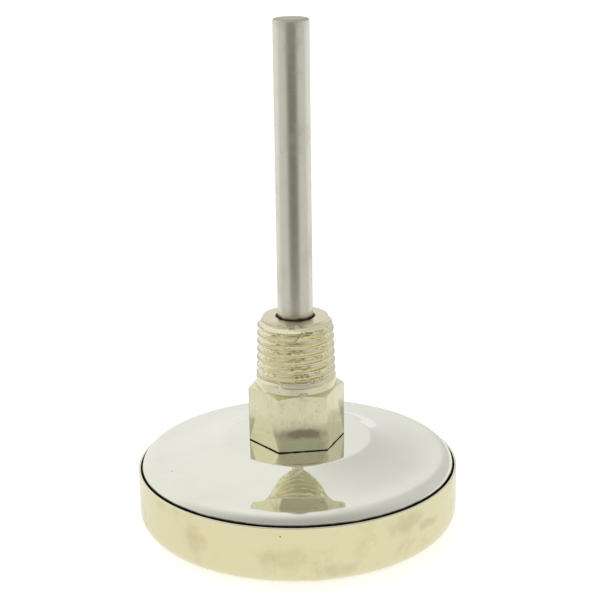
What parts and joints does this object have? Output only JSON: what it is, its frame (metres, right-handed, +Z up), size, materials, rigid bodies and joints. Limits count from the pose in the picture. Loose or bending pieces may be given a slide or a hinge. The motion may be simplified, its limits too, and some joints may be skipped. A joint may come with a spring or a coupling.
{
  "type": "dial thermometer",
  "caption": "Bimetal dial thermometer with a centre back stem, a hexagonal fitting with a tapered pipe thread, and a round case with a glass front.",
  "frame": {"origin": "centre of the plane that the front lip of the case rests on", "axes": "+Z up the stem to its tip; +Y towards the top of the dial"},
  "size_m": [0.055, 0.055, 0.0865],
  "materials": {
    "plated_band": "polished pale nickel plate, lightly tarnished",
    "plated_brass": "thin nickel plate over turned brass",
    "mirror_steel": "mirror polished stainless sheet",
    "stem_steel": "satin drawn tube",
    "inner_steel": "mill finish",
    "bright_brass": "turned",
    "bimetal": "rolled strip",
    "solder": "dull solder with flux residue",
    "glass": "clear",
    "gasket": "matte",
    "spacer": "matte white",
    "dial_enamel": "printed white enamel",
    "pointer_black": "satin black"
  },
  "bodies": {
    "case": {"bezel_band": "plated_band", "window_gasket": "gasket", "window": "glass", "spacer_ring": "spacer", "dial_plate": "dial_enamel", "dial_screws": "inner_steel", "stop_pins": "bright_brass", "back_plate": "mirror_steel", "hex_fitting": "plated_brass", "seat_washer": "gasket", "dial_bridge": "inner_steel", "lock_nut": "bright_brass", "stem_tube": "stem_steel", "stem_tip": "stem_steel", "solder_ring": "solder", "case_bushing": "bright_brass", "stem_bushing": "bright_brass", "helix_anchor": "inner_steel", "bimetal_helix": "bimetal"},
    "pointer": {"shaft_collar": "bright_brass", "pointer_shaft": "inner_steel", "pointer_hub": "bright_brass", "pointer": "pointer_black"}
  },
  "joints": [
    {"name": "pointer_turn", "type": "hinge", "parent": "case", "child": "pointer", "pos_m": [0, 0, 0.0032], "axis": [0, 0, 1], "range_deg": [-48, 228], "stiffness_Nm_per_rad": 0.00005, "deforming": ["bimetal_helix"]}
  ]
}
